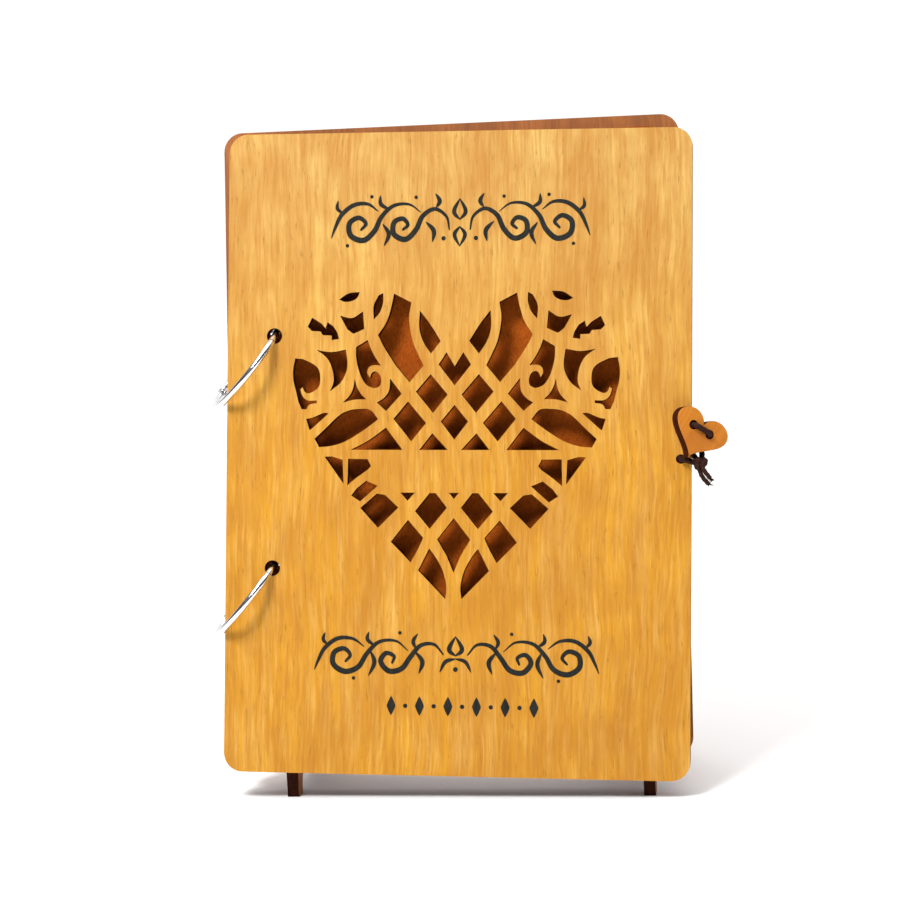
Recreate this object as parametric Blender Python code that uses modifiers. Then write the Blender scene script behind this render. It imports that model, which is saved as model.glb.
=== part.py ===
"""Wooden ring-bound guest book on a small easel stand.

Two plywood covers are held by two loose-leaf rings.  The front cover has an
openwork heart and a heart-shaped button on a cord.  Metres, +Z up, front
towards -Y.  The book leans back, so its pieces hang from one leaning empty.
"""
from math import atan2, cos, pi, radians, sin

import bmesh
import bpy
from mathutils import Matrix, Vector

MM = 0.001

# Covers
COVER_W = 160.0
COVER_H = 220.0
COVER_T = 3.0
CORNER_R = 6.5
HOLE_X = -63.5
HOLE_Z = (150.0, 70.0)
HOLE_R = 2.7
COVER_PITCH = 14.0       # between the middles of the two covers
FRONT_SHIFT = 2.5        # the front cover sits this much to the right
FRONT_DROP = 3.3         # and hangs this much lower
FRONT_ROLL = 1.55        # and sags towards its free edge, degrees
HINGE_X = -9.0           # the cover turns about this line, from the holes
HINGE_Y = -8.8

# Leaves
LEAF_W = 148.0
LEAF_H = 210.0
LEAF_T = 0.4
LEAF_PITCH = 0.7
LEAF_COUNT = 8
LEAF_LEFT = -75.0
LEAF_BOTTOM = 5.0
LEAF_HOLE_R = 3.1
LEAF_HOLE_SHIFT = (1.6, 0.4)

# Rings: centre from the hole in the back cover, and the ring's own axis
RING_R = 17.3
WIRE_R = 1.0
RING_CENTRE = ((-8.418, -6.974, -13.206), (-9.817, -5.487, -13.053))
RING_AXIS = ((-0.7203, -0.3203, 0.6153), (-0.7415, -0.2199, 0.6339))
CLASP_PAST_HOLE = 14.0   # degrees of ring between front cover and clasp
CLASP_GAP = 1.2
KNUCKLE_CLEAR = 8.6
KNUCKLE_R = 2.0
PIN_R = 0.6
PIN_HOLE_R = 1.0

# Heart button and its cord, from the front cover's bottom centre
CORD_R = 0.85
CORD_HOLE = (76.4, 107.9)
CORD_HOLE_R = 1.6
SWING_Y = -2.9
BUTTON_AT = (81.7, -5.2, 115.3)
BUTTON_W = 20.4
BUTTON_H = 15.8
BUTTON_T = 3.5
BUTTON_ROLL = 28.0
BUTTON_YAW = 30.0
BUTTON_HOLES = (3.4, 2.6)
KNOT_AT = (83.6, -4.6, 106.9)
KNOT_R = 2.7

# Stand
LEAN = 8.0
LEDGE_Z = 11.0
PLATE_T = 4.0
PLATE_X = (-57.5, 65.5)
REST_GAP = 0.4
FIT_GAP = 0.3

# The frame's origin is under the middle of the whole object
ORIGIN_X = -4.43
ORIGIN_Y = -28.84

HEART_X = -0.5
HEART_RISE = 0.7

# One half of the openwork: distance from the heart's middle line and height
# above the cover's bottom edge.  A third value marks a point on a curve.
HALF_OPENINGS = (
    ((8.3, 136.0), (13.4, 130.0), (7.4, 122.7), (2.4, 129.0)),
    ((16.1, 126.7), (21.1, 120.7), (14.9, 113.0), (9.8, 119.3)),
    ((21.2, 163.7), (15.2, 160.6), (15.9, 155.0, 1), (14.8, 148.0, 1),
     (12.8, 143.0, 1), (10.8, 139.0), (15.6, 133.2), (20.5, 139.0),
     (24.7, 145.5, 1), (26.7, 149.5), (23.8, 154.0, 1), (22.2, 159.0, 1)),
    ((12.2, 157.8), (8.5, 153.0, 1), (4.9, 147.3), (8.3, 143.0),
     (11.0, 147.2, 1), (12.4, 152.0, 1)),
    ((25.0, 163.9), (26.6, 163.1), (28.3, 159.5, 1), (28.2, 154.8),
     (26.1, 157.3, 1), (25.0, 160.6, 1)),
    ((40.4, 161.8), (37.0, 163.9, 1), (33.2, 164.3), (34.0, 162.4, 1),
     (36.0, 161.2, 1), (38.5, 161.0, 1)),
    ((49.8, 155.6), (46.6, 153.6), (45.0, 151.9), (44.4, 154.0),
     (42.3, 152.6), (40.9, 150.4), (40.3, 148.2), (42.9, 147.8),
     (42.9, 149.4), (46.0, 149.5), (46.8, 150.8), (49.9, 151.0),
     (51.3, 152.5)),
    ((40.0, 156.2), (35.8, 155.4, 1), (32.0, 157.6), (31.5, 151.6),
     (35.3, 149.9), (37.4, 151.5)),
    ((48.1, 144.4), (43.0, 143.7, 1), (37.9, 144.5), (37.3, 140.0, 1),
     (37.8, 136.5, 1), (39.8, 133.0, 1), (43.4, 130.2), (42.2, 133.0, 1),
     (42.2, 136.0, 1), (43.2, 139.5, 1), (45.0, 142.2, 1)),
    ((34.3, 145.4), (30.3, 147.8), (29.0, 144.5, 1), (27.2, 141.2, 1),
     (25.6, 139.0), (28.3, 139.1, 1), (29.9, 138.2, 1), (30.3, 136.4, 1),
     (29.4, 134.9), (28.8, 136.4, 1), (27.6, 137.0, 1), (26.2, 136.2, 1),
     (25.5, 134.4, 1), (25.7, 132.4, 1), (27.0, 131.4, 1),
     (28.6, 131.4, 1), (30.6, 132.4, 1), (32.3, 134.8, 1),
     (33.5, 138.0, 1), (34.3, 142.0, 1)),
    ((55.6, 141.6), (52.8, 141.3), (49.6, 139.8, 1), (47.8, 138.4, 1),
     (46.9, 136.4, 1), (46.9, 132.6, 1), (48.4, 130.6, 1),
     (50.8, 129.5, 1), (52.2, 130.1, 1), (52.9, 131.6), (53.7, 130.9),
     (53.2, 129.1, 1), (52.3, 127.8, 1), (50.8, 127.0, 1),
     (47.9, 127.0), (47.9, 126.1), (50.4, 125.6, 1), (51.6, 124.0),
     (53.2, 124.0), (54.4, 126.6), (55.2, 130.0, 1), (56.2, 134.0, 1),
     (56.3, 138.0, 1)),
    ((51.6, 120.7), (49.2, 121.2, 1), (45.6, 122.7, 1), (43.7, 122.6),
     (46.6, 120.0, 1), (49.3, 117.6, 1), (50.4, 116.8)),
    ((48.6, 113.9), (44.6, 117.6, 1), (40.2, 121.8, 1), (36.6, 123.6, 1),
     (33.0, 124.1, 1), (29.2, 123.8, 1), (26.4, 120.6), (29.0, 118.6, 1),
     (33.0, 115.8, 1), (38.0, 112.9, 1), (42.8, 111.4, 1), (47.0, 111.0)),
    ((34.7, 134.5), (33.9, 131.8, 1), (32.6, 129.4, 1), (30.6, 127.4),
     (34.7, 127.3, 1), (38.8, 126.3), (36.4, 128.8, 1), (35.2, 131.4, 1)),
    ((22.4, 134.6), (18.3, 129.3), (23.7, 123.4), (26.9, 126.3),
     (24.6, 127.8, 1), (23.0, 129.8, 1), (22.5, 132.0, 1)),
    ((23.7, 117.7), (17.9, 110.1), (35.9, 110.1), (29.8, 113.3, 1)),
    ((7.6, 115.8), (2.3, 110.1), (12.1, 110.1)),
    ((45.0, 107.7), (42.5, 107.8), (38.7, 106.7), (38.3, 98.4)),
    ((36.8, 107.0), (30.0, 106.9), (28.8, 104.6), (29.8, 103.4),
     (34.0, 100.4), (37.0, 97.9)),
    ((30.4, 99.5), (26.4, 97.8), (32.5, 92.4), (35.6, 94.4),
     (33.8, 96.8)),
    ((26.7, 95.1), (23.8, 94.7), (19.2, 90.4), (26.2, 83.4),
     (32.4, 90.2)),
    ((18.5, 95.5), (13.5, 95.5), (16.0, 92.7)),
    ((8.4, 95.4), (6.3, 95.4), (2.4, 90.4), (8.3, 83.2), (13.4, 89.2)),
    ((15.8, 86.2), (10.5, 80.1), (12.4, 76.0, 1), (14.8, 71.7),
     (21.7, 78.7)),
    ((8.4, 76.5), (12.2, 69.0), (2.8, 59.4), (2.4, 63.5, 1),
     (3.7, 69.0, 1), (6.2, 73.6, 1)),
)
# Openings that the middle line crosses, right half only
MIDDLE_OPENINGS = (
    ((0.0, 138.7), (2.9, 143.5), (5.6, 139.3), (0.0, 132.1)),
    ((0.0, 125.5), (4.7, 119.8), (0.0, 113.6)),
    ((0.0, 95.5), (1.7, 95.5), (0.0, 93.4)),
    ((0.0, 86.9), (5.7, 79.6), (2.5, 74.2), (0.0, 68.3)),
)


# ---------------------------------------------------------------- helpers

def clear_scene():
    for obj in list(bpy.data.objects):
        bpy.data.objects.remove(obj, do_unlink=True)


def new_collection(name):
    collection = bpy.data.collections.new(name)
    bpy.context.scene.collection.children.link(collection)
    return collection


def material(name, colour, roughness, metallic=0.0):
    mat = bpy.data.materials.new(name)
    mat.use_nodes = True
    bsdf = mat.node_tree.nodes["Principled BSDF"]
    bsdf.inputs["Base Color"].default_value = (*colour, 1.0)
    bsdf.inputs["Roughness"].default_value = roughness
    bsdf.inputs["Metallic"].default_value = metallic
    mat.diffuse_color = (*colour, 1.0)
    return mat


def empty(name, location=(0, 0, 0), rotation=(0, 0, 0), parent=None):
    obj = bpy.data.objects.new(name, None)
    obj.empty_display_size = 0.01
    PARTS.objects.link(obj)
    obj.parent = parent
    obj.location = Vector(location) * MM
    obj.rotation_euler = [radians(a) for a in rotation]
    return obj


def place(obj, name, mat, parent, location=(0, 0, 0)):
    """Name a piece, give it its material, and hang it on its parent."""
    obj.name = name
    obj.data.name = name
    for collection in list(obj.users_collection):
        collection.objects.unlink(obj)
    PARTS.objects.link(obj)
    obj.data.materials.clear()
    obj.data.materials.append(mat)
    obj.parent = parent
    obj.location = Vector(location) * MM
    return obj


def curve_to_mesh(obj):
    """Turn a curve object into a mesh object with its caps welded on."""
    depsgraph = bpy.context.evaluated_depsgraph_get()
    mesh = bpy.data.meshes.new_from_object(obj.evaluated_get(depsgraph))
    bm = bmesh.new()
    bm.from_mesh(mesh)
    bmesh.ops.remove_doubles(bm, verts=bm.verts, dist=0.000002)
    bmesh.ops.recalc_face_normals(bm, faces=bm.faces)
    bm.to_mesh(mesh)
    bm.free()
    made = bpy.data.objects.new(obj.name, mesh)
    made.matrix_world = obj.matrix_world
    bpy.context.scene.collection.objects.link(made)
    bpy.data.objects.remove(obj, do_unlink=True)
    return made


def upright_plate(name, loops, thickness):
    """A plate in the XZ plane from closed outlines in mm, holes included."""
    curve = bpy.data.curves.new(name, "CURVE")
    curve.dimensions = "2D"
    curve.fill_mode = "BOTH"
    curve.extrude = thickness * 0.5 * MM
    for loop in loops:
        spline = curve.splines.new("POLY")
        spline.points.add(len(loop) - 1)
        for point, (x, z) in zip(spline.points, loop):
            point.co = (x * MM, z * MM, 0.0, 1.0)
        spline.use_cyclic_u = True
    obj = bpy.data.objects.new(name, curve)
    bpy.context.scene.collection.objects.link(obj)
    made = curve_to_mesh(obj)
    made.data.transform(Matrix.Rotation(pi / 2, 4, "X"))
    return made


def tube(name, points, radius):
    """A round rod along points in mm."""
    curve = bpy.data.curves.new(name, "CURVE")
    curve.dimensions = "3D"
    curve.bevel_depth = radius * MM
    curve.bevel_resolution = 2
    curve.use_fill_caps = True
    spline = curve.splines.new("POLY")
    spline.points.add(len(points) - 1)
    for point, co in zip(spline.points, points):
        point.co = (*(Vector(co) * MM), 1.0)
    obj = bpy.data.objects.new(name, curve)
    bpy.context.scene.collection.objects.link(obj)
    made = curve_to_mesh(obj)
    made.data.shade_smooth()
    made.data.set_sharp_from_angle(angle=radians(50))
    return made


def rod(name, start, end, radius, sides=16):
    """A straight pin between two points in mm."""
    start = Vector(start)
    end = Vector(end)
    bpy.ops.mesh.primitive_cylinder_add(vertices=sides, radius=radius * MM,
                                        depth=(end - start).length * MM)
    obj = bpy.context.object
    turn = (end - start).to_track_quat("Z", "Y").to_matrix().to_4x4()
    obj.data.transform(Matrix.Translation((start + end) * 0.5 * MM) @ turn)
    obj.name = name
    return obj


def combine(obj, other, operation):
    """Apply a Boolean with the other object, which is used up."""
    modifier = obj.modifiers.new(operation.lower(), "BOOLEAN")
    modifier.operation = operation
    modifier.solver = "EXACT"
    modifier.object = other
    depsgraph = bpy.context.evaluated_depsgraph_get()
    depsgraph.update()
    mesh = bpy.data.meshes.new_from_object(obj.evaluated_get(depsgraph))
    obj.modifiers.clear()
    obj.data = mesh
    bpy.data.objects.remove(other, do_unlink=True)
    return obj


def circle(x, z, radius, sides=24):
    step = 2 * pi / sides
    return [(x + radius * cos(i * step), z + radius * sin(i * step))
            for i in range(sides)]


def rounded_box(x0, z0, x1, z1, radius, steps=5):
    """Outline of a rectangle with round corners."""
    corners = ((x1 - radius, z1 - radius, 0), (x0 + radius, z1 - radius, 90),
               (x0 + radius, z0 + radius, 180), (x1 - radius, z0 + radius, 270))
    loop = []
    for x, z, start in corners:
        for i in range(steps + 1):
            a = radians(start + 90 * i / steps)
            loop.append((x + radius * cos(a), z + radius * sin(a)))
    return loop


def hermite(p, q, tp, tq, t):
    a = 2 * t ** 3 - 3 * t ** 2 + 1
    b = t ** 3 - 2 * t ** 2 + t
    c = -2 * t ** 3 + 3 * t ** 2
    d = t ** 3 - t ** 2
    return p * a + tp * b + q * c + tq * d


def curved_loop(points, steps=2):
    """Closed outline: straight between corners, smooth through curve points."""
    count = len(points)
    loop = []
    for i in range(count):
        p = Vector(points[i][:2])
        q = Vector(points[(i + 1) % count][:2])
        soft_p = len(points[i]) > 2
        soft_q = len(points[(i + 1) % count]) > 2
        loop.append(tuple(p))
        if not (soft_p or soft_q):
            continue
        before = Vector(points[i - 1][:2])
        after = Vector(points[(i + 2) % count][:2])
        tp = (q - before) * 0.5 if soft_p else q - p
        tq = (after - p) * 0.5 if soft_q else q - p
        for k in range(1, steps):
            loop.append(tuple(hermite(p, q, tp, tq, k / steps)))
    return loop


def smooth_path(points, steps=3):
    """Open path in space through the given points."""
    points = [Vector(p) for p in points]
    path = []
    for i in range(len(points) - 1):
        p, q = points[i], points[i + 1]
        tp = (q - points[i - 1]) * 0.5 if i else q - p
        tq = (points[i + 2] - p) * 0.5 if i + 2 < len(points) else q - p
        for k in range(steps):
            path.append(hermite(p, q, tp, tq, k / steps))
    path.append(points[-1])
    return path


# ------------------------------------------------------------------ parts

def heart_loops():
    loops = []
    for points in HALF_OPENINGS:
        half = curved_loop(points)
        loops.append([(HEART_X + u, z + HEART_RISE) for u, z in half])
        loops.append([(HEART_X - u, z + HEART_RISE) for u, z in half])
    for points in MIDDLE_OPENINGS:
        right = [(u, z) for u, z in points]
        left = [(-u, z) for u, z in reversed(points) if u > 0]
        loops.append([(HEART_X + u, z + HEART_RISE) for u, z in right + left])
    return loops


def cover_outline():
    half = COVER_W / 2
    return rounded_box(-half, 0, half, COVER_H, CORNER_R)


def make_covers(book, cover):
    ring_holes = [circle(HOLE_X, z, HOLE_R) for z in HOLE_Z]
    back = upright_plate("back_cover", [cover_outline()] + ring_holes, COVER_T)
    place(back, "back_cover", WOOD_BACK, book)
    cord_hole = circle(*CORD_HOLE, CORD_HOLE_R, 16)
    loops = [cover_outline()] + ring_holes + [cord_hole] + heart_loops()
    front = upright_plate("front_cover", loops, COVER_T)
    place(front, "front_cover", WOOD_FRONT, cover)


def leaf_y(index):
    first = -(COVER_T / 2 + 0.4 + LEAF_T / 2)
    return first - index * LEAF_PITCH


def make_leaves(book):
    """Thin leaves behind each other; the last two turn with the cover."""
    for index in range(LEAF_COUNT):
        pivot = (LEAF_LEFT, leaf_y(index), 0)
        parent = book
        spot = pivot
        if index >= LEAF_COUNT - 2:
            parent = empty(f"leaf_{index + 1}_turn", pivot, parent=book)
            spot = (0, 0, 0)
        outline = rounded_box(0, LEAF_BOTTOM, LEAF_W,
                              LEAF_BOTTOM + LEAF_H, 3.0, 3)
        holes = [circle(HOLE_X - LEAF_LEFT + LEAF_HOLE_SHIFT[0],
                        z + LEAF_HOLE_SHIFT[1], LEAF_HOLE_R) for z in HOLE_Z]
        name = f"leaf_{index + 1}"
        leaf = upright_plate(name, [outline] + holes, LEAF_T)
        place(leaf, name, KRAFT, parent, spot)


def ring_arc(centre, inward, side, start, stop):
    """Points of the ring's wire between two angles in degrees."""
    count = max(2, round(abs(stop - start) / 9.5))
    points = []
    for i in range(count + 1):
        a = radians(start + (stop - start) * i / count)
        points.append(centre + (inward * cos(a) + side * sin(a)) * RING_R)
    return points


def knuckle_half(wire, pivot, towards, axis, side):
    """Add the flat hinge eye to one end of a wire, on one side of the axis."""
    low = pivot + axis * (0.15 * side)
    high = pivot + axis * (0.95 * side)
    eye = rod("eye", low, high, KNUCKLE_R, 20)
    combine(wire, eye, "UNION")
    bpy.ops.mesh.primitive_cube_add(size=1.0)
    neck = bpy.context.object
    across = axis.cross(towards).normalized()
    turn = Matrix((towards, across, axis)).transposed().to_4x4()
    size = Matrix.Diagonal((2.6 * MM, 1.5 * MM, 0.7 * MM, 1.0))
    middle = pivot + towards * 2.2 + axis * (0.55 * side)
    neck.data.transform(Matrix.Translation(middle * MM) @ turn @ size)
    combine(wire, neck, "UNION")
    drill = rod("drill", pivot - axis * 2, pivot + axis * 2, PIN_HOLE_R, 16)
    return combine(wire, drill, "DIFFERENCE")


def hinge_pin(pivot, axis):
    """A rivet: a shank with a head at each end."""
    pin = rod("pin", pivot - axis * 1.5, pivot + axis * 1.5, PIN_R, 12)
    for side in (-1, 1):
        head = rod("head", pivot + axis * (1.3 * side),
                   pivot + axis * (1.85 * side), 1.4, 16)
        combine(pin, head, "UNION")
    return pin


def make_ring(book, index, label):
    back_hole = Vector((HOLE_X, 0.0, HOLE_Z[index]))
    sag = sin(radians(FRONT_ROLL)) * (1 if index == 0 else -1) * 40.0
    front_hole = back_hole + Vector((FRONT_SHIFT + sag, -COVER_PITCH,
                                     -FRONT_DROP))
    centre = back_hole + Vector(RING_CENTRE[index])
    axis = Vector(RING_AXIS[index]).normalized()
    depth = Vector((0.0, 1.0, 0.0))
    side = (depth - axis * depth.dot(axis)).normalized()
    inward = side.cross(axis)
    if inward.x < 0:
        inward = -inward
    spoke = front_hole - centre
    hole_angle = atan2(spoke.dot(side), spoke.dot(inward)) * 180 / pi
    clasp = hole_angle - CLASP_PAST_HOLE
    knuckle = clasp + 180.0
    fixed = tube("fixed", ring_arc(centre, inward, side, clasp + CLASP_GAP / 2,
                                   knuckle - KNUCKLE_CLEAR), WIRE_R)
    moving = tube("moving", ring_arc(centre, inward, side,
                                     knuckle + KNUCKLE_CLEAR,
                                     clasp + 360 - CLASP_GAP / 2), WIRE_R)
    a = radians(knuckle)
    pivot = centre + (inward * cos(a) + side * sin(a)) * RING_R
    tangent = (side * cos(a) - inward * sin(a)).normalized()
    knuckle_half(fixed, pivot, -tangent, axis, 1)
    knuckle_half(moving, pivot, tangent, axis, -1)
    swing = empty(f"ring_{label}_swing", parent=book)
    place(fixed, f"ring_{label}_fixed_half", CHROME, swing)
    place(hinge_pin(pivot, axis), f"ring_{label}_pin", STEEL, swing)
    gate = empty(f"ring_{label}_gate", pivot, parent=swing)
    moving.data.transform(Matrix.Translation(-pivot * MM))
    place(moving, f"ring_{label}_moving_half", CHROME, gate)


def heart_outline(width, height, count=28):
    """A plain heart from the usual sine and cosine sums."""
    points = []
    for i in range(count):
        t = 2 * pi * i / count
        x = sin(t) ** 3
        z = (13 * cos(t) - 5 * cos(2 * t) - 2 * cos(3 * t) - cos(4 * t)) / 28.9
        points.append((x * width / 2, (z + 0.09) * height))
    return points


def turned(name, profile, steps):
    """A turned solid about +Y from (radius, y) pairs, front end first."""
    mesh = bpy.data.meshes.new(name)
    verts = [(r * MM, 0.0, h * MM) for r, h in profile]
    edges = [(i, i + 1) for i in range(len(verts) - 1)]
    mesh.from_pydata(verts, edges, [])
    obj = bpy.data.objects.new(name, mesh)
    bpy.context.scene.collection.objects.link(obj)
    screw = obj.modifiers.new("turn", "SCREW")
    screw.steps = steps
    screw.render_steps = steps
    screw.use_merge_vertices = True
    screw.merge_threshold = 0.00001
    depsgraph = bpy.context.evaluated_depsgraph_get()
    solid = bpy.data.meshes.new_from_object(obj.evaluated_get(depsgraph))
    solid.transform(Matrix.Rotation(pi / 2, 4, "X"))
    obj.modifiers.clear()
    obj.data = solid
    return obj


def make_button(cover):
    x, z = CORD_HOLE
    profile = ((0.0, 1.8), (CORD_R, 1.8), (CORD_R, -1.9), (1.5, -2.1),
               (1.9, -2.9), (1.9, -3.7), (1.2, -4.9), (0.0, -5.2))
    stop = turned("cord_stop", profile, 12)
    place(stop, "cord_stop_knot", CORD, cover, (x, 0, z))
    swing = empty("button_swing", (x, SWING_Y, z), parent=cover)
    base = Vector((x, SWING_Y, z))
    knot = Vector(KNOT_AT) - base
    lead = smooth_path(((1.0, -0.1, -0.15), (2.6, -0.9, -0.5),
                        tuple(knot + Vector((-3.1, 0.0, 0.3)))), 2)
    place(tube("button_lead", lead, CORD_R), "button_lead_cord", CORD, swing)
    bpy.ops.mesh.primitive_uv_sphere_add(segments=16, ring_count=8,
                                         radius=KNOT_R * MM)
    place(bpy.context.object, "button_knot", CORD, swing, knot)
    tails = (((1.7, -1.4, -2.7), (2.6, -1.7, -3.9), (3.6, -1.6, -5.1)),
             ((0.3, -0.4, -3.4), (1.3, -0.6, -5.1), (2.9, -0.4, -6.9)))
    for index, points in enumerate(tails):
        path = smooth_path([knot + Vector(p) for p in points], 2)
        name = f"button_cord_tail_{index + 1}"
        place(tube(name, path, CORD_R), name, CORD, swing)
    hx, hz = BUTTON_HOLES
    holes = [circle(s * hx, hz, 1.4, 16) for s in (-1, 1)]
    heart = upright_plate("heart", [heart_outline(BUTTON_W, BUTTON_H)] + holes,
                          BUTTON_T)
    place(heart, "heart_button", WOOD_FRONT, swing, Vector(BUTTON_AT) - base)
    heart.rotation_euler = (0.0, radians(BUTTON_ROLL), radians(BUTTON_YAW))
    loop = ((6.0, 2.2, -3.6), (5.2, 3.1, -1.6), (4.0, 3.2, 0.9),
            (hx, 1.0, hz), (hx, -1.2, hz), (2.6, -2.75, hz),
            (0.0, -2.85, hz), (-2.6, -2.75, hz), (-hx, -1.2, hz),
            (-hx, 1.0, hz), (-3.2, 3.0, 1.3), (-1.5, 3.4, -1.0),
            (1.2, 3.2, -3.4), (2.6, 2.5, -4.8))
    place(tube("loop", smooth_path(loop, 3), CORD_R), "button_loop_cord", CORD,
          heart)


def leaned(y, z):
    """A point of the leaning book, as y and z of the stand."""
    a = radians(LEAN)
    return (y * cos(a) + z * sin(a), LEDGE_Z + z * cos(a) - y * sin(a))


def bezier(p, control, q, steps):
    loop = []
    for i in range(1, steps):
        t = i / steps
        loop.append(tuple(p[k] * (1 - t) ** 2 + control[k] * 2 * t * (1 - t)
                          + q[k] * t ** 2 for k in (0, 1)))
    return loop


def side_profile():
    """Outline of a side plate in depth and height, front foot first."""
    rest = COVER_T / 2 + REST_GAP
    top = leaned(rest + 11.0, 94.0)
    tail = (70.0, 7.0)
    profile = [(-10.5, 0.0), (-4.5, 0.0), (-3.4, 5.6), (-1.2, 7.4), (8.0, 7.4),
               (32.0, 4.0), (52.0, 4.0), (56.0, 0.0), (74.0, 0.0),
               (74.0, 4.0), tail]
    profile += reversed(bezier(top, (31.0, 17.0), tail, 8))
    profile += [top, leaned(rest + 8.0, 97.0), leaned(rest + 2.0, 97.0),
                leaned(rest, 95.0), leaned(rest, -REST_GAP),
                leaned(-8.8, -REST_GAP), leaned(-8.8, 3.2), leaned(-9.6, 4.0),
                leaned(-10.9, 4.0), leaned(-11.7, 3.2)]
    return profile


BARS = (("low", 38.0, 7.0, 25.0), ("high", 21.0, 52.0, 74.0))


def make_stand(stand):
    """Two side plates joined by two tabbed crossbars."""
    half = PLATE_T / 2
    for x, label in zip(PLATE_X, ("left", "right")):
        loops = [side_profile()]
        for _, y, low, high in BARS:
            edge = half + FIT_GAP
            low, high = low + 4.0 - FIT_GAP, high - 4.0 + FIT_GAP
            loops.append([(y - edge, low), (y + edge, low),
                          (y + edge, high), (y - edge, high)])
        plate = upright_plate("side", loops, PLATE_T)
        plate.data.transform(Matrix.Rotation(pi / 2, 4, "Z"))
        place(plate, f"stand_side_{label}", WOOD_BACK, stand, (x, 0, 0))
    left, right = PLATE_X
    for label, y, low, high in BARS:
        inner = (left + half + FIT_GAP, right - half - FIT_GAP)
        outer = (left - half, right + half)
        tab = (low + 4.0, high - 4.0)
        outline = [(inner[0], low), (inner[1], low), (inner[1], tab[0]),
                   (outer[1], tab[0]), (outer[1], tab[1]), (inner[1], tab[1]),
                   (inner[1], high), (inner[0], high), (inner[0], tab[1]),
                   (outer[0], tab[1]), (outer[0], tab[0]), (inner[0], tab[0])]
        bar = upright_plate("bar", [outline], PLATE_T)
        place(bar, f"stand_bar_{label}", WOOD_BACK, stand, (0, y, 0))


def cover_frame(book):
    """The front cover's hinge line and, on it, the cover's bottom centre."""
    hinge = Vector((HOLE_X + HINGE_X, HINGE_Y, 0.0))
    turn = empty("front_cover_hinge", hinge, parent=book)
    pivot = Vector((HOLE_X + FRONT_SHIFT, -COVER_PITCH, 110.0 - FRONT_DROP))
    roll = Matrix.Rotation(radians(FRONT_ROLL), 3, "Y")
    corner = pivot + roll @ Vector((-HOLE_X, 0.0, -110.0))
    return empty("front_cover_frame", corner - hinge, (0, FRONT_ROLL, 0), turn)


clear_scene()
PARTS = new_collection("wedding_guest_book")
WOOD_FRONT = material("cover_wood", (0.80, 0.48, 0.17), 0.45)
WOOD_BACK = material("plain_wood", (0.55, 0.27, 0.10), 0.55)
KRAFT = material("kraft_paper", (0.42, 0.22, 0.09), 0.85)
CHROME = material("ring_chrome", (0.85, 0.86, 0.88), 0.15, 1.0)
STEEL = material("pin_steel", (0.6, 0.6, 0.62), 0.3, 1.0)
CORD = material("cord", (0.10, 0.045, 0.025), 0.8)

STAND = empty("stand", (ORIGIN_X, ORIGIN_Y, 0))
BOOK = empty("book_lift", (ORIGIN_X, ORIGIN_Y, LEDGE_Z), (-LEAN, 0, 0))
COVER = cover_frame(BOOK)
make_stand(STAND)
make_covers(BOOK, COVER)
make_leaves(BOOK)
make_ring(BOOK, 0, "upper")
make_ring(BOOK, 1, "lower")
make_button(COVER)
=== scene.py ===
"""Looks of a wooden ring-bound guest book on its small stand.

Lengths are in millimetres and angles in degrees; materials, lights and the
camera are in metres.  Book coordinates: x to the right, y backwards, z up
along the covers, from the bottom middle of the back cover.  Cover
coordinates: the same, from the bottom middle of the front one.
"""

import random
from math import atan2, cos, degrees, pi, radians, sin

import bmesh
import bpy
from mathutils import Matrix, Vector


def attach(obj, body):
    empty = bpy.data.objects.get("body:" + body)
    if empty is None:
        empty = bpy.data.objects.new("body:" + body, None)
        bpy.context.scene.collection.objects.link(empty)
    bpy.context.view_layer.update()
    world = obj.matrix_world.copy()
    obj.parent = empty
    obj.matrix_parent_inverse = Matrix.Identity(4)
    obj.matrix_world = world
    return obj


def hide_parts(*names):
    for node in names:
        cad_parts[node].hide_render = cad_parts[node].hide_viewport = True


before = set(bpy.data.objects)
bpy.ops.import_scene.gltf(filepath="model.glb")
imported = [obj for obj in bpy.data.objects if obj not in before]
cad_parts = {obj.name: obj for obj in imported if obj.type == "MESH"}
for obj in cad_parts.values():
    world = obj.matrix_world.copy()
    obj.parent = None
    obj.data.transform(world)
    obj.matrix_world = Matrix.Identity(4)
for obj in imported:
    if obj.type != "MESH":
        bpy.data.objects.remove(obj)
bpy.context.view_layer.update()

MM = 0.001

# ------------------------------------------------ sizes shared with the CAD
ORIGIN = (-4.43, -28.84, 11.0)       # the book's foot, from the part's origin
LEAN = 8.0                           # degrees that the book leans back
COVER_W, COVER_H, COVER_T = 160.0, 220.0, 3.0
COVER_MIDDLE = COVER_H / 2
CORNER_R = 6.5
HOLE_X = -63.5
HOLE_Z = (150.0, 70.0)
HOLE_R = 2.7
COVER_PITCH = 14.0                   # from the back cover to the front one
FRONT_SHIFT = 2.5                    # the front cover hangs to the right,
FRONT_DROP = 3.3                     # lower,
FRONT_ROLL = 1.55                    # and turned by these degrees
LEAF_COUNT = 8
HEART_X = -0.5                       # the openwork, from the cover's middle
HEART_RISE = 0.7

RING_R = 17.3
RING_CENTRE = ((-8.418, -6.974, -13.206), (-9.817, -5.487, -13.053))
RING_AXIS = ((-0.7203, -0.3203, 0.6153), (-0.7415, -0.2199, 0.6339))
CLASP_PAST_HOLE = 14.0               # along the ring, all in degrees
CLASP_GAP = 0.6
KNUCKLE_GAP = 8.6

CORD_HOLE = (76.4, 107.9)
CORD_HOLE_R = 1.6
SWING_Y = -2.9                       # the cord's pivot before the cover
BUTTON_AT = (81.7, -5.2, 115.3)
BUTTON_W, BUTTON_H, BUTTON_T = 20.4, 15.8, 3.5
BUTTON_ROLL, BUTTON_YAW = 28.0, 30.0
BUTTON_HOLES = (3.4, 2.6)            # half their spacing, and their height

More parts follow.
